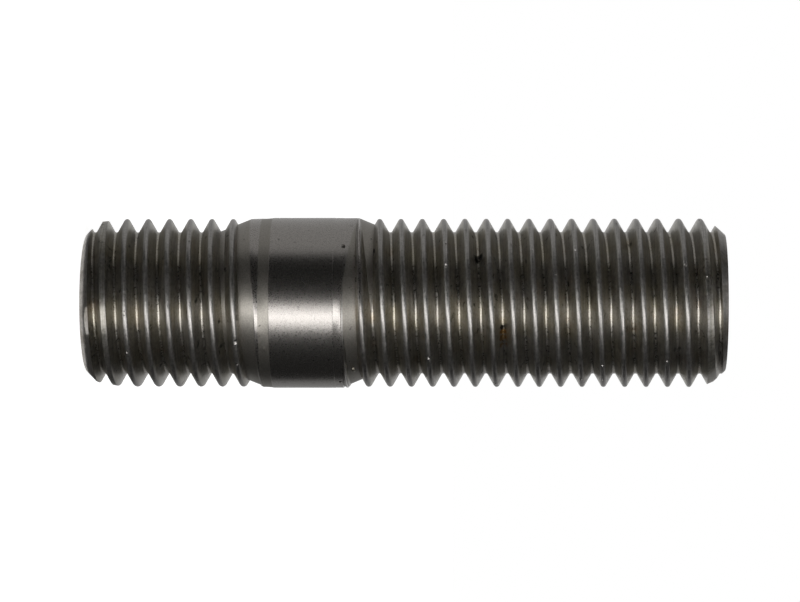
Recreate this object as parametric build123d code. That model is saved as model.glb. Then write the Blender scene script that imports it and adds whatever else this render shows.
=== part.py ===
from build123d import *
import math
import os

# Double-ended stud with a coarse right-hand metric thread on both ends and a plain shank between.
# It stands on its metal end, the short thread that is screwed home first. The axis is Z and the
# origin is the centre of that end's face. Lengths are in millimetres, angles in degrees.

# Lengths along the axis, each threaded one measured from its face to the plain shank
metal_end_length = 21.0
shank_length = 9.2
nut_end_length = 44.8

# Shank, with the cone at each side on which the die's lead runs out of the metal
shank_diameter = 20.0
run_out_length = 4.0

# Thread form, the same on both ends. Each turn is made in straight flats.
thread_diameter = 19.66
pitch = 2.5
thread_angle = 60.0
crest_flat = 0.51
root_flat = 0.22
flats_per_turn = 30

# Ends, with the angle about the axis at which each thread's crest enters its face
metal_end_chamfer = 1.85
nut_end_chamfer = 1.95
metal_end_crest_angle = 212.0
nut_end_crest_angle = 252.0

# How far a trimming shape reaches past the surface that it meets
overrun = 0.25

# The thread is a sleeve on the core, and its bore is buried in the core's wall
bore_share = 0.5
core_share = 0.75

crest_radius = thread_diameter / 2
thread_depth = (pitch - crest_flat - root_flat) / 2 / math.tan(math.radians(thread_angle / 2))
root_radius = crest_radius - thread_depth
bore_radius = bore_share * root_radius
core_radius = core_share * root_radius
shank_bottom = metal_end_length
shank_top = metal_end_length + shank_length
overall_length = shank_top + nut_end_length


def turned(points):
    """Solid of revolution about Z from an outline of (radius, height) points."""
    outline = Polyline([(radius, 0, height) for radius, height in points], close=True)
    return revolve(make_face(outline), axis=Axis.Z)


def tooth_outline(length):
    """Half section of a threaded sleeve, as (radius, height), past both ends of the length."""
    half_crest = crest_flat / 2
    half_tooth = (pitch - root_flat) / 2
    tooth_count = math.ceil(length / pitch) + 4
    first_crest = -2 * pitch
    points = []
    for tooth in range(tooth_count):
        crest = first_crest + tooth * pitch
        points.append((root_radius, crest - half_tooth))
        points.append((crest_radius, crest - half_crest))
        points.append((crest_radius, crest + half_crest))
        points.append((root_radius, crest + half_tooth))
    bottom = (bore_radius, first_crest - half_tooth)
    top = (bore_radius, points[-1][1])
    return [bottom] + points + [top]


def station(outline, step):
    """The half section turned by some flats about the axis, and raised as the helix climbs."""
    turn_share = step / flats_per_turn
    angle = math.tau * turn_share
    rise = pitch * turn_share
    corners = [
        (radius * math.cos(angle), radius * math.sin(angle), height + rise)
        for radius, height in outline
    ]
    return Wire.make_polygon(corners, close=True)


def threaded_sleeve(length):
    """All the thread's turns at once: the half section lofted through two half turns."""
    outline = tooth_outline(length)
    halfway = flats_per_turn // 2
    first_half = [station(outline, step) for step in range(halfway + 1)]
    second_half = [station(outline, step) for step in range(halfway, flats_per_turn + 1)]
    return Solid.make_loft(first_half, ruled=True) + Solid.make_loft(second_half, ruled=True)


def threaded_end(length, chamfer):
    """One end's thread, standing on its chamfered face, before it is set on the core."""
    face_radius = crest_radius - chamfer
    outer_radius = crest_radius + overrun
    envelope = turned(
        [
            (0, 0),
            (face_radius, 0),
            (outer_radius, chamfer + overrun),
            (outer_radius, length),
            (0, length),
        ]
    )
    return envelope & threaded_sleeve(length)


def core_and_shank():
    """The bar inside the threads, with the plain shank and its two run-out cones."""
    shank_radius = shank_diameter / 2
    foot_radius = root_radius - overrun
    bottom_foot = shank_bottom - run_out_length
    top_foot = shank_top + run_out_length
    return turned(
        [
            (0, 0),
            (core_radius, 0),
            (core_radius, bottom_foot),
            (foot_radius, bottom_foot),
            (shank_radius, shank_bottom),
            (shank_radius, shank_top),
            (foot_radius, top_foot),
            (core_radius, top_foot),
            (core_radius, overall_length),
            (0, overall_length),
        ]
    )


metal_end = Rot(Z=metal_end_crest_angle) * threaded_end(metal_end_length, metal_end_chamfer)
upright_nut_end = threaded_end(nut_end_length, nut_end_chamfer)
nut_end = Pos(Z=overall_length) * Rot(Z=nut_end_crest_angle) * Rot(X=180) * upright_nut_end
stud = core_and_shank() + metal_end + nut_end

os.makedirs("parts", exist_ok=True)
export_step(stud, "parts/stud.step")
print("stud", stud.is_valid, len(stud.solids()), round(stud.volume, 1), stud.bounding_box())
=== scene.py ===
import math
import random
import time
import bpy
import bmesh
from mathutils import Matrix, Vector


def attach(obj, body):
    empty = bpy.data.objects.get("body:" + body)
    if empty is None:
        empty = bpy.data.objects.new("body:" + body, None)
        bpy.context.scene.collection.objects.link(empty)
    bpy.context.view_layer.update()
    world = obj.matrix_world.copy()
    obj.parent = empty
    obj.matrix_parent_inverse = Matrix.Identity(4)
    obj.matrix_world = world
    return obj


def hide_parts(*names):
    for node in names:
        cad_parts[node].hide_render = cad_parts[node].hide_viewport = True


startTime = time.time()
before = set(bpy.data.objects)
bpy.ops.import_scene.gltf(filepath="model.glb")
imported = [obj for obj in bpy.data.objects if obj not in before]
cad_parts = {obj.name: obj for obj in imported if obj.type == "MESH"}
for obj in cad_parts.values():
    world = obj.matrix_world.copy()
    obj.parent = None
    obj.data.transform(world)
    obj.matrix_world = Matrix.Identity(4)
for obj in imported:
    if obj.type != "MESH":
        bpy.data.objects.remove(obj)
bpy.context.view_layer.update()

mm = 0.001
hairline = 0.001 * mm      # points closer than this are one
planeSlack = 0.0001 * mm
random.seed(4)


def report(stage):
    print("%6.1f s  %s" % (time.time() - startTime, stage))


report("CAD frame loaded: " + ", ".join(sorted(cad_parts)))


# modelling steps that several pieces share

def deselectAll():
    bpy.ops.object.select_all(action="DESELECT")


def makeActive(piece):
    deselectAll()
    piece.select_set(True)
    bpy.context.view_layer.objects.active = piece


def editAll(piece):
    makeActive(piece)
    bpy.ops.object.mode_set(mode="EDIT")
    bpy.ops.mesh.select_mode(type="VERT")
    bpy.ops.mesh.select_all(action="SELECT")


def objectMode():
    bpy.ops.object.mode_set(mode="OBJECT")


def applyModifier(piece, modifier):
    makeActive(piece)
    bpy.ops.object.modifier_apply(modifier=modifier.name)


def drawOutline(name, corners):
    # a chain of edges in the XZ plane, drawn corner by corner from (radius, height) in mm
    deselectAll()
    bpy.ops.mesh.primitive_plane_add(size=mm)
    piece = bpy.context.object
    piece.name = name
    bpy.ops.object.mode_set(mode="EDIT")
    bpy.ops.mesh.select_mode(type="VERT")
    bpy.ops.mesh.select_all(action="SELECT")
    bpy.ops.mesh.merge(type="CENTER")
    radius, height = corners[0]
    bpy.ops.transform.translate(value=(radius * mm, 0, height * mm))
    for nextRadius, nextHeight in corners[1:]:
        move = ((nextRadius - radius) * mm, 0, (nextHeight - height) * mm)
        bpy.ops.mesh.extrude_vertices_move(TRANSFORM_OT_translate={"value": move})
        radius, height = nextRadius, nextHeight
    objectMode()
    return piece


def screwOutline(piece, steps, turns=1, rise=0.0):
    # sweeps the outline round the Z axis, climbing by the rise at each turn
    screw = piece.modifiers.new("sweep", "SCREW")
    screw.axis = "Z"
    screw.angle = math.tau
    screw.screw_offset = rise * mm
    screw.iterations = turns
    screw.steps = steps
    screw.render_steps = steps
    screw.use_merge_vertices = True
    screw.merge_threshold = 0.0005 * mm
    applyModifier(piece, screw)
    editAll(piece)
    bpy.ops.mesh.remove_doubles(threshold=0.002 * mm)
    bpy.ops.mesh.normals_make_consistent(inside=False)
    objectMode()


def trimBelow(piece, height):
    editAll(piece)
    bpy.ops.mesh.bisect(plane_co=(0, 0, height * mm), plane_no=(0, 0, 1),
                        use_fill=True, clear_inner=True, threshold=planeSlack)
    objectMode()


def trimAbove(piece, height):
    editAll(piece)
    bpy.ops.mesh.bisect(plane_co=(0, 0, height * mm), plane_no=(0, 0, 1),
                        use_fill=True, clear_outer=True, threshold=planeSlack)
    objectMode()


def booleanWith(piece, tool, operation):
    # joins or cuts, then closes the slivers that the cut can leave
    cut = piece.modifiers.new("join", "BOOLEAN")
    cut.operation = operation
    cut.solver = "EXACT"
    cut.object = tool
    applyModifier(piece, cut)
    bpy.data.objects.remove(tool)
    editAll(piece)
    bpy.ops.mesh.remove_doubles(threshold=hairline)
    bpy.ops.mesh.dissolve_degenerate(threshold=hairline)
    bpy.ops.mesh.select_all(action="SELECT")
    bpy.ops.mesh.fill_holes(sides=0)
    bpy.ops.mesh.select_all(action="SELECT")
    bpy.ops.mesh.normals_make_consistent(inside=False)
    objectMode()


# the stud: two threads, the shank with its run-out cones, the chamfered ends

stud = {
    "length": 75.0,
    "pitch": 2.5,
    "crestRadius": 9.87,
    "rootRadius": 8.297,
    "crestFlat": 0.394,
    "rootFlat": 0.29,
    "crestRound": 0.33,       # worn corner of the crest
    "rootRound": 0.22,
    # the die's full flanks at the run-outs, a hair inside the thread's:
    # crest and root, each as radius, half flat and rounding
    "tallTooth": (10.05, 0.043, 0.01, 8.25, 0.168, 0.15),
    "stepsPerTurn": 144,
    "turnedSteps": 288, "skinSteps": 280, "barSteps": 300,   # steps round the turned blanks: shank and lead cones, run-out skins, bar skin
    "metalThreadTop": 23.0, "nutThreadFoot": 28.0, "overrun": 1.0,   # where the thread bars are cut off
    "metalEndCrest": 203.5,   # degrees about Z where a crest crosses the end's face
    "nutEndCrest": 244.0,
    # the blank between the threads, as (radius, height): scraped land, ground shank, fine line, ring
    "shankOutline": [(0, 20.7), (9.78, 20.7), (9.86, 20.84), (9.95, 22.02), (10.0, 22.10),
                     (10.0, 29.42), (9.972, 29.48), (9.99, 29.55), (9.98, 30.38), (9.86, 30.46),
                     (9.84, 30.60), (0, 30.60)],
    # where the die ran out: skin of the bar there, and the cone of the die's lead
    # with its shift across the axis
    "lowRunOut": [(0, 15.7), (9.55, 15.7), (9.60, 18.4), (9.86, 19.3), (9.90, 20.4), (9.90, 21.6), (0, 21.6)],
    "lowCone": [(0, 15.6), (7.97, 15.6), (10.02, 20.72), (9.60, 21.9), (0, 21.9)],
    "lowShift": (-0.32, 0.0),
    "highRunOut": [(0, 30.2), (9.97, 30.2), (9.97, 32.4), (9.60, 33.3), (9.55, 35.4), (0, 35.4)],
    "highCone": [(0, 30.3), (10.33, 30.3), (8.15, 35.5), (0, 35.5)],
    "highShift": (-0.42, 0.46),
    # what the lathe left: flat face, rounded rim, chamfer, first and last crests turned down
    "barOutline": [(0, 0), (7.3, 0), (7.85, 0.06), (8.1, 0.16), (9.25, 1.27), (9.56, 1.9), (9.70, 3.3),
                   (10.0, 5.4), (10.6, 5.8), (10.6, 71.4), (9.88, 72.10), (9.50, 73.0), (9.24, 73.62),
                   (8.12, 74.86), (7.98, 75.0), (0, 75.0)],
    "smoothAngle": 25,
    "nicks": 80, "raggedNicks": 34,
    # larger knocks and pits: degrees about Z, height, radius of the surface, half size round and along, depth
    "knocks": [(244.5, 42.43, 9.87, 0.42, 0.30, 0.14), (310.4, 40.45, 9.87, 0.30, 0.25, 0.12),
               (243.8, 69.98, 9.87, 0.36, 0.30, 0.14), (239.2, 72.40, 9.76, 0.30, 0.26, 0.12),
               (253.2, 72.44, 9.76, 0.45, 0.20, 0.12), (321.0, 70.52, 9.87, 0.30, 0.26, 0.12),
               (232.6, 52.44, 9.87, 0.30, 0.28, 0.12), (334.2, 58.12, 9.87, 0.32, 0.25, 0.12),
               (297.3, 18.23, 9.87, 0.46, 0.34, 0.17), (316.1, 18.32, 9.87, 0.36, 0.30, 0.15),
               (337.6, 30.12, 9.93, 0.40, 0.30, 0.13), (231.2, 18.46, 9.70, 0.40, 0.26, 0.14),
               (229.2, 30.62, 9.80, 0.42, 0.28, 0.14)],
    # slivers left where the die stopped: degrees about Z, height, radius of the middle, half size round, out, along
    "burrs": [(306.1, 19.73, 9.16, 0.30, 0.22, 0.26), (302.6, 21.55, 9.93, 0.44, 0.13, 0.17),
              (326.1, 31.69, 9.36, 0.42, 0.20, 0.26)],
}


def arcPoints(centre, radius, fromAngle, toAngle, count):
    points = []
    for i in range(count):
        turn = math.radians(fromAngle + (toAngle - fromAngle) * i / (count - 1))
        points.append((centre[0] + radius * math.cos(turn), centre[1] + radius * math.sin(turn)))
    return points


def toothOutline(crestHeight, crest, crestHalf, crestRound, root, rootHalf, rootRound):
    # one pitch of the thread from root to root, with its corners rounded
    half = math.radians(30)
    bend = math.tan((math.pi / 2 - half) / 2)
    rootCentre = (root + rootRound, stud["pitch"] / 2 - rootHalf + rootRound * bend)
    crestCentre = (crest - crestRound, crestHalf - crestRound * bend)
    side = arcPoints(rootCentre, rootRound, 180, 240, 4)
    flankTop = arcPoints(crestCentre, crestRound, 60, 0, 4)
    low, high = side[-1], flankTop[0]
    for share in (0.25, 0.5, 0.75):
        side.append((low[0] + (high[0] - low[0]) * share, low[1] + (high[1] - low[1]) * share))
    side += flankTop
    upper = [(radius, crestHeight + height) for radius, height in side]
    lower = [(radius, crestHeight - height) for radius, height in side]
    rootMid = stud["pitch"] / 2
    return ([(root, crestHeight - rootMid)] + lower + [(crest, crestHeight)] + upper[::-1]
            + [(root, crestHeight + rootMid)])


def threadBar(name, firstCrest, bottom, top, tooth):
    pitch = stud["pitch"]
    while firstCrest + 2.6 * pitch < bottom:
        firstCrest += pitch
    turns = math.ceil((top + 0.5 - firstCrest) / pitch + 0.5) + 1
    bar = drawOutline(name, toothOutline(firstCrest, *tooth))
    screwOutline(bar, stud["stepsPerTurn"], turns, pitch)
    trimBelow(bar, bottom)
    trimAbove(bar, top)
    editAll(bar)
    bpy.ops.mesh.normals_make_consistent(inside=False)
    objectMode()
    return bar


def turnedBlank(name, corners, steps):
    blank = drawOutline(name, corners)
    screwOutline(blank, steps)
    return blank


def crestHeightAt(angle, turn):
    # height of a crest of the long thread at an angle about Z, counted in turns from the top
    return stud["length"] + stud["pitch"] * ((angle - stud["nutEndCrest"]) / 360 - turn)


def runOut(name, firstCrest, skin, cone, shift):
    # the die's last turns: full flanks on the bar's skin, their floor on the cone of the die's lead
    piece = threadBar(name, firstCrest, skin[0][1] - 1, skin[-1][1] + 1, stud["tallTooth"])
    lead = turnedBlank("lead_cone", cone, stud["turnedSteps"])
    makeActive(lead)
    lead.location = (shift[0] * mm, shift[1] * mm, 0)
    bpy.ops.object.transform_apply(location=True)
    booleanWith(piece, lead, "UNION")
    booleanWith(piece, turnedBlank("run_out_skin", skin, stud["skinSteps"]), "INTERSECT")
    return piece


def makeStud():
    pitch, length = stud["pitch"], stud["length"]
    wornTooth = (stud["crestRadius"], stud["crestFlat"] / 2, stud["crestRound"],
                 stud["rootRadius"], stud["rootFlat"] / 2, stud["rootRound"])
    metalCrest = -pitch * stud["metalEndCrest"] / 360 - pitch
    nutCrest = length - pitch * stud["nutEndCrest"] / 360 - 20 * pitch
    piece = threadBar("threaded_stud", metalCrest, -stud["overrun"], stud["metalThreadTop"], wornTooth)
    report("short thread")
    nutThread = threadBar("nut_thread", nutCrest, stud["nutThreadFoot"], length + stud["overrun"], wornTooth)
    report("long thread")
    collar = turnedBlank("shank_blank", stud["shankOutline"], stud["turnedSteps"])
    lowRun = runOut("low_run_out", metalCrest, stud["lowRunOut"], stud["lowCone"], stud["lowShift"])
    booleanWith(collar, lowRun, "UNION")
    highRun = runOut("high_run_out", nutCrest, stud["highRunOut"], stud["highCone"], stud["highShift"])
    booleanWith(collar, highRun, "UNION")
    report("shank and run-outs")
    booleanWith(piece, collar, "UNION")
    booleanWith(piece, nutThread, "UNION")
    report("threads joined to the shank")
    booleanWith(piece, turnedBlank("bar_skin", stud["barOutline"], stud["barSteps"]), "INTERSECT")
    report("turned ends")
    return piece


def joinBeads(name, beads):
    # faceted lumps, each (degrees, height, radius, half size round, out, along), joined into one object
    cluster = None
    for angle, height, radius, around, outward, along in beads:
        turn = math.radians(angle)
        roll = [random.uniform(0, 3) for axis in range(3)]
        deselectAll()
        bpy.ops.mesh.primitive_ico_sphere_add(subdivisions=1, radius=mm, rotation=roll)
        bpy.ops.object.transform_apply(rotation=True)
        bead = bpy.context.object
        bead.scale = (outward, around, along)
        bead.rotation_euler = (0, 0, turn)
        bead.location = (radius * mm * math.cos(turn), radius * mm * math.sin(turn), height * mm)
        bpy.ops.object.transform_apply(location=True, rotation=True, scale=True)
        if cluster:
            cluster.select_set(True)
            bpy.context.view_layer.objects.active = cluster
            bpy.ops.object.join()
        else:
            cluster = bead
            cluster.name = name
    return cluster


def makeNickCutter():
    # shallow lumps along the crests, most of them on the long thread, for the knocks of use
    crest = stud["crestRadius"]
    beads = []
    for i in range(stud["nicks"]):
        angle = random.uniform(0, 360)
        if random.random() < 0.72:
            height = crestHeightAt(angle, random.randint(1, 16))
        else:
            height = stud["pitch"] * ((angle - stud["metalEndCrest"]) / 360 + random.randint(1, 7))
        height += random.uniform(-0.10, 0.10)
        outward = random.uniform(0.12, 0.22)
        radius = crest + outward - random.uniform(0.05, 0.13)
        beads.append((angle, height, radius, random.uniform(0.10, 0.40), outward, random.uniform(0.10, 0.24)))
    for i in range(stud["raggedNicks"]):      # the ragged edge of the last crest
        angle = random.uniform(150, 360)
        height = crestHeightAt(angle, 1) - 0.24 + random.uniform(-0.05, 0.05)
        beads.append((angle, height, crest - 0.02, random.uniform(0.08, 0.22), 0.16, random.uniform(0.08, 0.16)))
    for angle, height, surface, around, along, depth in stud["knocks"]:
        beads.insert(0, (angle, height, surface + 0.25 - depth, around, 0.25, along))
    kept, taken = [], []
    for bead in beads:       # lumps that would touch one already there are left out
        turn = math.radians(bead[0])
        middle = Vector((bead[2] * math.cos(turn), bead[2] * math.sin(turn), bead[1]))
        size = max(bead[3:])
        if all((middle - other).length > size + otherSize + 0.05 for other, otherSize in taken):
            kept.append(bead)
            taken.append((middle, size))
    return joinBeads("nick_cutter", kept)


studPiece = makeStud()
booleanWith(studPiece, joinBeads("die_burrs", stud["burrs"]), "UNION")
booleanWith(studPiece, makeNickCutter(), "DIFFERENCE")
report("burrs and nicks")
makeActive(studPiece)
bpy.ops.object.shade_smooth_by_angle(angle=math.radians(stud["smoothAngle"]))


# node trees

def addNode(tree, kind, inputs=None, **settings):
    made = tree.nodes.new("ShaderNode" + kind)
    for name, value in settings.items():
        setattr(made, name, value)
    for socket, value in (inputs or {}).items():
        if isinstance(value, bpy.types.NodeSocket):
            tree.links.new(value, made.inputs[socket])
        else:
            made.inputs[socket].default_value = value
    return made


def math1(tree, operation, first, second=0.0, clamp=False):
    return addNode(tree, "Math", {0: first, 1: second}, operation=operation, use_clamp=clamp).outputs[0]


def spread(tree, value, low, high, toLow=0.0, toHigh=1.0):
    made = addNode(tree, "MapRange", {"Value": value, "From Min": low, "From Max": high,
                                      "To Min": toLow, "To Max": toHigh})
    return made.outputs["Result"]


def blendColours(tree, factor, first, second, mode="MIX"):
    made = addNode(tree, "Mix", data_type="RGBA", blend_type=mode)
    for socket, value in ((0, factor), (6, first), (7, second)):
        if isinstance(value, bpy.types.NodeSocket):
            tree.links.new(value, made.inputs[socket])
        else:
            made.inputs[socket].default_value = value
    return made.outputs[2]


def shadeColour(tree, colour, tone):
    grey = addNode(tree, "CombineColor", {0: tone, 1: tone, 2: tone}).outputs[0]
    return blendColours(tree, 1.0, colour, grey, "MULTIPLY")


def colourRamp(tree, factor, stops):
    made = addNode(tree, "ValToRGB", {"Fac": factor})
    ramp = made.color_ramp
    while len(ramp.elements) < len(stops):
        ramp.elements.new(0.5)
    for element, (place, colour) in zip(ramp.elements, stops):
        element.position = place
        element.color = (*colour, 1)
    return made.outputs["Color"]


def startGroup(name, inputs, outputs):
    group = bpy.data.node_groups.new(name, "ShaderNodeTree")
    for label, kind, value in inputs:
        socket = group.interface.new_socket(name=label, in_out="INPUT", socket_type=kind)
        if value is not None:
            socket.default_value = value
    for label, kind in outputs:
        group.interface.new_socket(name=label, in_out="OUTPUT", socket_type=kind)
    return group, group.nodes.new("NodeGroupInput"), group.nodes.new("NodeGroupOutput")


def makeTurnedGrain():
    # streaks that run round the axis, as a tool or a die leaves them
    group, enter, leave = startGroup(
        "turned_grain",
        [("Vector", "NodeSocketVector", None), ("Around", "NodeSocketFloat", 60.0),
         ("Along", "NodeSocketFloat", 4000.0), ("Speckle", "NodeSocketFloat", 3000.0)],
        [("Streak", "NodeSocketFloat"), ("Speckle", "NodeSocketFloat")])
    around, along = enter.outputs["Around"], enter.outputs["Along"]
    scale = addNode(group, "CombineXYZ", {"X": around, "Y": around, "Z": along})
    stretched = addNode(group, "VectorMath", {0: enter.outputs["Vector"], 1: scale.outputs[0]}, operation="MULTIPLY")
    streak = addNode(group, "TexNoise", {"Vector": stretched.outputs[0], "Scale": 1.0, "Detail": 3.0, "Roughness": 0.6})
    speckle = addNode(group, "TexNoise", {"Vector": enter.outputs["Vector"], "Scale": enter.outputs["Speckle"],
                                          "Detail": 2.0, "Roughness": 0.65})
    group.links.new(streak.outputs["Fac"], leave.inputs["Streak"])
    group.links.new(speckle.outputs["Fac"], leave.inputs["Speckle"])
    return group


def makeOilStain():
    # blotches of old oil and oxide
    group, enter, leave = startGroup(
        "oil_stain",
        [("Vector", "NodeSocketVector", None), ("Scale", "NodeSocketFloat", 300.0), ("Start", "NodeSocketFloat", 0.5),
         ("Full", "NodeSocketFloat", 0.65)],
        [("Mask", "NodeSocketFloat")])
    blotch = addNode(group, "TexNoise", {"Vector": enter.outputs["Vector"], "Scale": enter.outputs["Scale"],
                                         "Detail": 4.0, "Roughness": 0.6, "Distortion": 0.4})
    mask = addNode(group, "MapRange", {"Value": blotch.outputs["Fac"], "From Min": enter.outputs["Start"],
                                       "From Max": enter.outputs["Full"]})
    group.links.new(mask.outputs["Result"], leave.inputs["Mask"])
    return group


turnedGrain = makeTurnedGrain()
oilStain = makeOilStain()


def useGroup(tree, group, inputs):
    made = tree.nodes.new("ShaderNodeGroup")
    made.node_tree = group
    for socket, value in inputs.items():
        if isinstance(value, bpy.types.NodeSocket):
            tree.links.new(value, made.inputs[socket])
        else:
            made.inputs[socket].default_value = value
    return made


def startMaterial(name):
    material = bpy.data.materials.new(name)
    material.use_nodes = True
    tree = material.node_tree
    shader = tree.nodes["Principled BSDF"]
    shader.inputs["Metallic"].default_value = 1.0
    place = addNode(tree, "TexCoord").outputs["Object"]
    parts = addNode(tree, "SeparateXYZ", {0: place})
    flat = addNode(tree, "VectorMath", {0: place, 1: (1, 1, 0)}, operation="MULTIPLY")
    radius = addNode(tree, "VectorMath", {0: flat.outputs[0]}, operation="LENGTH").outputs["Value"]
    return material, tree, shader, place, radius, parts.outputs["Z"]


def bumpFrom(tree, shader, height, strength, distance):
    bump = addNode(tree, "Bump", {"Height": height, "Strength": strength, "Distance": distance * mm})
    tree.links.new(bump.outputs["Normal"], shader.inputs["Normal"])


threadSteel = {
    # colour and roughness by depth, from the root at 0 to the crest at 1
    "depthColours": [(0.0, (0.27, 0.255, 0.23)), (0.06, (0.27, 0.255, 0.23)), (0.14, (0.29, 0.277, 0.252)),
                     (0.80, (0.29, 0.277, 0.252)), (0.92, (0.27, 0.26, 0.245)), (1.0, (0.26, 0.25, 0.238))],
    "depthRough": [(0.0, 0.30), (0.12, 0.36), (0.82, 0.36), (1.0, 0.37)],
    "olive": (0.24, 0.215, 0.14, 1), "brown": (0.20, 0.145, 0.10, 1), "grime": (0.010, 0.009, 0.008, 1),
    "rust": (0.20, 0.105, 0.02, 1),
    # spots at set places: degrees about Z, height, radius, half size
    "grimeSpots": [(232.0, 46.25, 8.70, 0.65), (234.5, 46.05, 8.45, 0.45), (228.2, 33.95, 8.70, 0.60),
                   (289.5, 48.95, 8.45, 0.38)],
    "rustSpots": [(293.0, 49.00, 8.55, 0.50), (298.5, 49.05, 8.60, 0.55), (304.5, 49.10, 8.75, 0.50)],
}
shankSteel = {
    "ground": (0.25, 0.236, 0.222, 1), "dull": (0.225, 0.212, 0.19, 1), "pit": (0.03, 0.028, 0.025, 1),
    "dullFrom": 20.80, "dullTo": 22.08, "floorRadius": 9.84,    # the scraped land, and the floors of the run-outs
    "groundRough": 0.285, "dullRough": 0.42,
}
endSteel = {"bare": (0.25, 0.238, 0.222, 1), "stain": (0.14, 0.12, 0.095, 1)}


def greyRamp(tree, factor, stops):
    return colourRamp(tree, factor, [(place, (value, value, value)) for place, value in stops])


def spotMask(tree, place, noise, spots):
    # soft spots round set points of the surface, their edges broken by the noise
    mask = None
    for angle, height, radius, size in spots:
        turn = math.radians(angle)
        middle = (radius * mm * math.cos(turn), radius * mm * math.sin(turn), height * mm)
        away = addNode(tree, "VectorMath", {0: place, 1: middle}, operation="DISTANCE").outputs["Value"]
        ragged = math1(tree, "ADD", away, spread(tree, noise, 0.3, 0.7, -0.25 * size * mm, 0.25 * size * mm))
        spot = spread(tree, ragged, size * mm, 0.6 * size * mm)
        mask = math1(tree, "MAXIMUM", mask, spot) if mask else spot
    return mask


def makeThreadSteel():
    material, tree, shader, place, radius, height = startMaterial("thread_steel")
    depth = spread(tree, radius, stud["rootRadius"] * mm, stud["crestRadius"] * mm)
    colour = colourRamp(tree, depth, threadSteel["depthColours"])
    grain = useGroup(tree, turnedGrain, {"Vector": place, "Around": 150.0, "Along": 5000.0, "Speckle": 3500.0})
    olive = useGroup(tree, oilStain, {"Vector": place, "Scale": 260.0, "Start": 0.42, "Full": 0.62}).outputs["Mask"]
    brown = useGroup(tree, oilStain, {"Vector": place, "Scale": 420.0, "Start": 0.55, "Full": 0.72}).outputs["Mask"]
    grime = useGroup(tree, oilStain, {"Vector": place, "Scale": 700.0, "Start": 0.62, "Full": 0.72}).outputs["Mask"]
    below = spread(tree, depth, 0.97, 0.80)
    oliveShare = math1(tree, "MULTIPLY", math1(tree, "MULTIPLY", olive, below), 0.35)
    colour = blendColours(tree, oliveShare, colour, threadSteel["olive"])
    brownShare = math1(tree, "MULTIPLY", math1(tree, "MULTIPLY", brown, below), 0.4)
    colour = blendColours(tree, brownShare, colour, threadSteel["brown"])
    shade = spread(tree, grain.outputs["Streak"], 0.3, 0.7, 0.7, 1.25)
    sparkle = spread(tree, grain.outputs["Speckle"], 0.3, 0.7, 0.75, 1.25)
    tone = math1(tree, "MULTIPLY", shade, sparkle)
    colour = shadeColour(tree, colour, tone)
    dirt = math1(tree, "MULTIPLY", grime, math1(tree, "MULTIPLY", below, 0.85))
    rust = spotMask(tree, place, grain.outputs["Speckle"], threadSteel["rustSpots"])
    colour = blendColours(tree, math1(tree, "MULTIPLY", rust, 0.85), colour, threadSteel["rust"])
    dirt = math1(tree, "MAXIMUM", dirt, spotMask(tree, place, grain.outputs["Speckle"], threadSteel["grimeSpots"]))
    colour = blendColours(tree, dirt, colour, threadSteel["grime"])
    rough = greyRamp(tree, depth, threadSteel["depthRough"])
    rough = math1(tree, "ADD", rough, spread(tree, grain.outputs["Speckle"], 0.3, 0.7, -0.07, 0.10))
    rough = math1(tree, "ADD", rough, math1(tree, "MULTIPLY", dirt, 0.25), True)
    tree.links.new(colour, shader.inputs["Base Color"])
    tree.links.new(rough, shader.inputs["Roughness"])
    bumpFrom(tree, shader, math1(tree, "ADD", grain.outputs["Streak"], grain.outputs["Speckle"]), 0.2, 0.03)
    return material


def makeShankSteel():
    material, tree, shader, place, radius, height = startMaterial("shank_steel")
    grain = useGroup(tree, turnedGrain, {"Vector": place, "Around": 500.0, "Along": 9000.0, "Speckle": 6000.0})
    landTop = spread(tree, height, (shankSteel["dullTo"] + 0.03) * mm, (shankSteel["dullTo"] - 0.03) * mm)
    landFoot = spread(tree, height, (shankSteel["dullFrom"] - 0.03) * mm, (shankSteel["dullFrom"] + 0.03) * mm)
    floor = spread(tree, radius, (shankSteel["floorRadius"] + 0.04) * mm, (shankSteel["floorRadius"] - 0.04) * mm)
    dull = math1(tree, "MAXIMUM", math1(tree, "MULTIPLY", landTop, landFoot), floor)
    colour = blendColours(tree, dull, shankSteel["ground"], shankSteel["dull"])
    sparkle = spread(tree, grain.outputs["Speckle"], 0.3, 0.7, 0.82, 1.18)
    colour = shadeColour(tree, colour, sparkle)
    pits = useGroup(tree, oilStain, {"Vector": place, "Scale": 1500.0, "Start": 0.66, "Full": 0.72}).outputs["Mask"]
    colour = blendColours(tree, math1(tree, "MULTIPLY", pits, 0.7), colour, shankSteel["pit"])
    rough = addNode(tree, "Mix", {0: dull, 2: shankSteel["groundRough"], 3: shankSteel["dullRough"]}).outputs[0]
    rough = math1(tree, "ADD", rough, spread(tree, grain.outputs["Speckle"], 0.3, 0.7, -0.03, 0.03))
    tree.links.new(colour, shader.inputs["Base Color"])
    tree.links.new(rough, shader.inputs["Roughness"])
    faintStreak = math1(tree, "MULTIPLY", grain.outputs["Streak"], 0.3)
    bumpFrom(tree, shader, math1(tree, "ADD", faintStreak, grain.outputs["Speckle"]), 0.15, 0.012)
    return material


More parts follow.
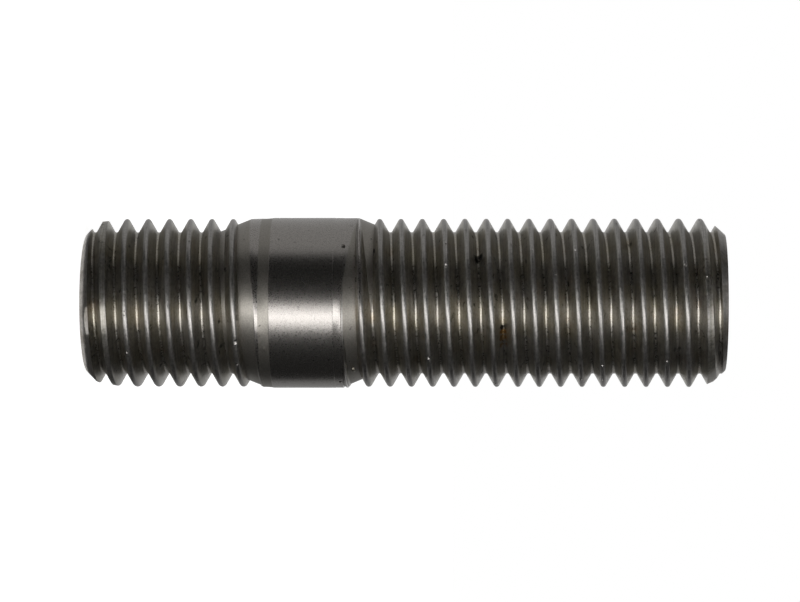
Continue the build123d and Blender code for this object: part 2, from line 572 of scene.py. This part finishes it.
def makeEndSteel():
    material, tree, shader, place, radius, height = startMaterial("end_steel")
    grain = useGroup(tree, turnedGrain, {"Vector": place, "Around": 900.0, "Along": 900.0, "Speckle": 2500.0})
    stain = useGroup(tree, oilStain, {"Vector": place, "Scale": 350.0, "Start": 0.48, "Full": 0.68}).outputs["Mask"]
    outward = addNode(tree, "CombineXYZ", {"X": radius}).outputs[0]
    rings = addNode(tree, "TexNoise", {"Vector": outward, "Scale": 4000.0, "Detail": 3.0})
    colour = blendColours(tree, math1(tree, "MULTIPLY", stain, 0.6), endSteel["bare"], endSteel["stain"])
    ringTone = spread(tree, rings.outputs["Fac"], 0.3, 0.7, 0.8, 1.2)
    tone = math1(tree, "MULTIPLY", ringTone, spread(tree, grain.outputs["Speckle"], 0.3, 0.7, 0.8, 1.2))
    colour = shadeColour(tree, colour, tone)
    rough = spread(tree, grain.outputs["Streak"], 0.3, 0.7, 0.32, 0.48)
    rough = math1(tree, "ADD", rough, math1(tree, "MULTIPLY", stain, 0.12))
    tree.links.new(colour, shader.inputs["Base Color"])
    tree.links.new(rough, shader.inputs["Roughness"])
    bumpFrom(tree, shader, math1(tree, "ADD", rings.outputs["Fac"], grain.outputs["Speckle"]), 0.35, 0.03)
    return material


def onTurnedSkin(radius, height, outline):
    # whether a point lies on the skin that an outline sweeps
    for (radiusA, heightA), (radiusB, heightB) in zip(outline, outline[1:]):
        if heightA <= height < heightB:
            share = (height - heightA) / (heightB - heightA)
            return abs(radius - radiusA - (radiusB - radiusA) * share) < 0.02
    return False


# heights and least radii of the faces that get the shank's steel, and heights that bound the chamfers
finishZones = {"runOuts": (17.5, 34.5), "runOutSkin": 9.88, "shank": (20.7, 30.45), "shankSkin": 9.75,
               "lowChamfer": 1.27, "highChamfer": 73.62, "endFace": 0.01}


def finishStud():
    mesh = studPiece.data
    mesh.materials.clear()
    for material in (makeThreadSteel(), makeShankSteel(), makeEndSteel()):
        mesh.materials.append(material)
    cones = ((stud["lowCone"], stud["lowShift"]), (stud["highCone"], stud["highShift"]))
    for face in mesh.polygons:
        middle = face.center / mm
        height = middle.z
        radius = math.hypot(middle.x, middle.y)
        onShank = any(onTurnedSkin(math.hypot(middle.x - shift[0], middle.y - shift[1]), height, cone)
                      for cone, shift in cones)
        onShank = onShank or any(onTurnedSkin(radius, height, stud[skin]) for skin in ("lowRunOut", "highRunOut"))
        for zone in ("runOuts", "shank"):
            low, high = finishZones[zone]
            leastRadius = finishZones["runOutSkin" if zone == "runOuts" else "shankSkin"]
            onShank = onShank or (low < height < high and radius > leastRadius)
        atChamfer = height < finishZones["lowChamfer"] or height > finishZones["highChamfer"]
        face.material_index = 0
        if onShank:
            face.material_index = 1
        elif height < finishZones["endFace"] or height > stud["length"] - finishZones["endFace"]:
            face.material_index = 2
        elif atChamfer and onTurnedSkin(radius, height, stud["barOutline"]):
            face.material_index = 2


finishStud()
report("steel finishes")

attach(studPiece, "root")
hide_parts("stud")


# camera: image right is up the stud, image up is -X

view = {"distance": 421.7, "yaw": 1.65, "centre": 36.94, "sideways": -0.21, "lens": 161.5}


def placeCamera():
    yaw = math.radians(view["yaw"])
    right = Vector((0, math.sin(yaw), math.cos(yaw)))
    up = Vector((-1, 0, 0))
    back = Vector((0, -math.cos(yaw), math.sin(yaw)))
    place = Vector((view["sideways"], 0, view["centre"])) * mm + back * view["distance"] * mm
    camera = bpy.data.objects.new("camera", bpy.data.cameras.new("camera"))
    bpy.context.scene.collection.objects.link(camera)
    camera.data.lens = view["lens"]
    camera.data.sensor_width = 36
    camera.data.clip_start = 0.01
    axes = Matrix((right, up, back)).transposed().to_4x4()
    camera.matrix_world = Matrix.Translation(place) @ axes
    bpy.context.scene.camera = camera


placeCamera()

# set: pale floor, white surroundings, dark and grey flags, a lid over them and a strip light

studio = {
    # each flag: first and last bearing in degrees, its glow with white as 1, and the glow at the stud's foot
    "flags": [("grey_flag_up", 165.0, 68.0, 0.58, 0.40), ("dark_flag_up", 68.0, -22.0, 0.016, 0.12),
              ("dark_flag_down", -22.0, -128.0, 0.033, 0.10), ("grey_flag_down", -128.0, -165.0, 0.42, 0.35)],
    "lidGlow": 0.02, "lidHole": 0.16,   # dark lid: the flanks find no bright sky, the top chamfer does
    "flagFoot": 0.0084, "flagLift": 0.3 * mm, "stripFoot": 0.0088, "stripLift": 0.6 * mm, "stripLow": 0.002,
    "floorGrey": 0.8, "floorLift": 0.85, "fillGrey": 0.3,
    "flagRadius": 0.62, "flagHeight": 0.60,
    "strip": (-13.2, -35.0), "stripGlow": 5.5, "stripRadius": 0.5, "stripHeight": 0.58,
    "foot": (-3.5, -25.0), "footGlow": 1.7,
    "nearFoot": 0.010, "farFoot": 0.035,   # distances from the origin between which a card's glow changes
}


def bearing(angle):
    # direction in the floor plane, counted from the camera towards -X
    turn = math.radians(angle)
    return Vector((-math.sin(turn), -math.cos(turn), 0))


def glowMaterial(name, strength, footStrength):
    # glow that changes with the distance from the origin, or an even one where both values are the same
    glow = bpy.data.materials.new(name)
    glow.use_nodes = True
    tree = glow.node_tree
    tree.nodes.clear()
    out = tree.nodes.new("ShaderNodeOutputMaterial")
    place = addNode(tree, "TexCoord").outputs["Object"]
    away = addNode(tree, "VectorMath", {0: place}, operation="LENGTH").outputs["Value"]
    level = spread(tree, away, studio["nearFoot"], studio["farFoot"], footStrength, strength)
    emission = addNode(tree, "Emission", {"Strength": level})
    tree.links.new(emission.outputs["Emission"], out.inputs["Surface"])
    return glow


def makeFloor():
    deselectAll()
    bpy.ops.mesh.primitive_plane_add(size=6)
    floor = bpy.context.object
    floor.name = "floor"
    pale = bpy.data.materials.new("pale_floor")
    pale.use_nodes = True
    nodes, links = pale.node_tree.nodes, pale.node_tree.links
    nodes.clear()
    out = nodes.new("ShaderNodeOutputMaterial")
    diffuse = nodes.new("ShaderNodeBsdfDiffuse")
    diffuse.inputs["Color"].default_value = (*[studio["floorGrey"]] * 3, 1)
    lift = nodes.new("ShaderNodeEmission")
    path = nodes.new("ShaderNodeLightPath")
    anyOf = nodes.new("ShaderNodeMath")
    anyOf.operation = "MAXIMUM"
    links.new(path.outputs["Is Camera Ray"], anyOf.inputs[0])
    links.new(path.outputs["Is Glossy Ray"], anyOf.inputs[1])
    orThrough = nodes.new("ShaderNodeMath")
    orThrough.operation = "MAXIMUM"
    links.new(anyOf.outputs[0], orThrough.inputs[0])
    links.new(path.outputs["Is Transmission Ray"], orThrough.inputs[1])
    amount = nodes.new("ShaderNodeMath")
    amount.operation = "MULTIPLY"
    amount.inputs[1].default_value = studio["floorLift"]
    links.new(orThrough.outputs[0], amount.inputs[0])
    links.new(amount.outputs[0], lift.inputs["Strength"])
    total = nodes.new("ShaderNodeAddShader")
    links.new(diffuse.outputs[0], total.inputs[0])
    links.new(lift.outputs[0], total.inputs[1])
    links.new(total.outputs[0], out.inputs["Surface"])
    floor.data.materials.append(pale)


def makeCard(name, angles, radius, low, high, material):
    # upright card on an arc round the stud, seen only in reflections
    deselectAll()
    bpy.ops.mesh.primitive_plane_add(size=mm)
    card = bpy.context.object
    card.name = name
    bpy.ops.object.mode_set(mode="EDIT")
    bpy.ops.mesh.merge(type="CENTER")
    place = Vector((0, 0, 0))
    for angle in angles:
        target = bearing(angle) * radius + Vector((0, 0, low))
        if angle == angles[0]:
            bpy.ops.transform.translate(value=target)
        else:
            bpy.ops.mesh.extrude_vertices_move(TRANSFORM_OT_translate={"value": target - place})
        place = target
    bpy.ops.mesh.select_all(action="SELECT")
    bpy.ops.mesh.extrude_edges_move(TRANSFORM_OT_translate={"value": (0, 0, high - low)})
    objectMode()
    card.data.materials.append(material)
    card.visible_camera = False
    card.visible_shadow = False
    return card


def makeFloorCard(name, angles, inner, outer, height, material):
    # flat ring or part of one, just over the floor or as the lid, seen only in reflections
    card = makeCard(name, angles, inner, height, height + mm, material)
    makeActive(card)
    bpy.ops.object.mode_set(mode="EDIT")
    bpy.ops.mesh.select_all(action="DESELECT")
    outline = bmesh.from_edit_mesh(card.data)
    for vertex in outline.verts:
        vertex.select = vertex.co.z > height + 0.5 * mm
    outline.select_flush(True)
    bmesh.update_edit_mesh(card.data)
    bpy.ops.transform.resize(value=(outer / inner, outer / inner, 1), center_override=(0, 0, 0))
    bpy.ops.transform.translate(value=(0, 0, -0.9 * mm))
    objectMode()
    return card


def makeFlag(name, fromBearing, toBearing, glow, footGlow):
    # a card round part of the set, upright and lying, that only reflections see
    paint = glowMaterial(name, glow, footGlow)
    arc = [fromBearing + (toBearing - fromBearing) * i / 24 for i in range(25)]
    upright = makeCard(name, arc, studio["flagRadius"], 0.0, studio["flagHeight"], paint)
    lying = makeFloorCard(name + "_floor", arc, studio["flagFoot"], studio["flagRadius"], studio["flagLift"], paint)
    for card in (upright, lying):
        card.visible_diffuse = False


def makeSet():
    makeFloor()
    for flag in studio["flags"]:
        makeFlag(*flag)
    allRound = [i * 15.0 for i in range(25)]
    lid = makeFloorCard("lid", allRound, studio["lidHole"], studio["flagRadius"], studio["flagHeight"],
                        glowMaterial("lid", studio["lidGlow"], studio["lidGlow"]))
    lid.visible_diffuse = False
    bright = glowMaterial("strip_light", studio["stripGlow"], studio["footGlow"])
    makeCard("strip_light", studio["strip"], studio["stripRadius"], studio["stripLow"], studio["stripHeight"], bright)
    foot = makeFloorCard("strip_foot", studio["foot"], studio["stripFoot"], studio["stripRadius"],
                         studio["stripLift"], bright)
    foot.visible_diffuse = False


makeSet()


def makeWorld():
    world = bpy.data.worlds.new("white_studio")
    bpy.context.scene.world = world
    world.use_nodes = True
    nodes, links = world.node_tree.nodes, world.node_tree.links
    nodes.clear()
    out = nodes.new("ShaderNodeOutputWorld")
    seen = nodes.new("ShaderNodeBackground")
    seen.inputs["Color"].default_value = (1, 1, 1, 1)
    fill = nodes.new("ShaderNodeBackground")
    fill.inputs["Color"].default_value = (*[studio["fillGrey"]] * 3, 1)
    path = nodes.new("ShaderNodeLightPath")
    first = nodes.new("ShaderNodeMath")
    first.operation = "MAXIMUM"
    links.new(path.outputs["Is Camera Ray"], first.inputs[0])
    links.new(path.outputs["Is Glossy Ray"], first.inputs[1])
    second = nodes.new("ShaderNodeMath")
    second.operation = "MAXIMUM"
    links.new(first.outputs[0], second.inputs[0])
    links.new(path.outputs["Is Transmission Ray"], second.inputs[1])
    mix = nodes.new("ShaderNodeMixShader")
    links.new(second.outputs[0], mix.inputs["Fac"])
    links.new(fill.outputs[0], mix.inputs[1])
    links.new(seen.outputs[0], mix.inputs[2])
    links.new(mix.outputs[0], out.inputs["Surface"])


makeWorld()
bpy.context.scene.view_settings.view_transform = "Standard"
report("camera and set")
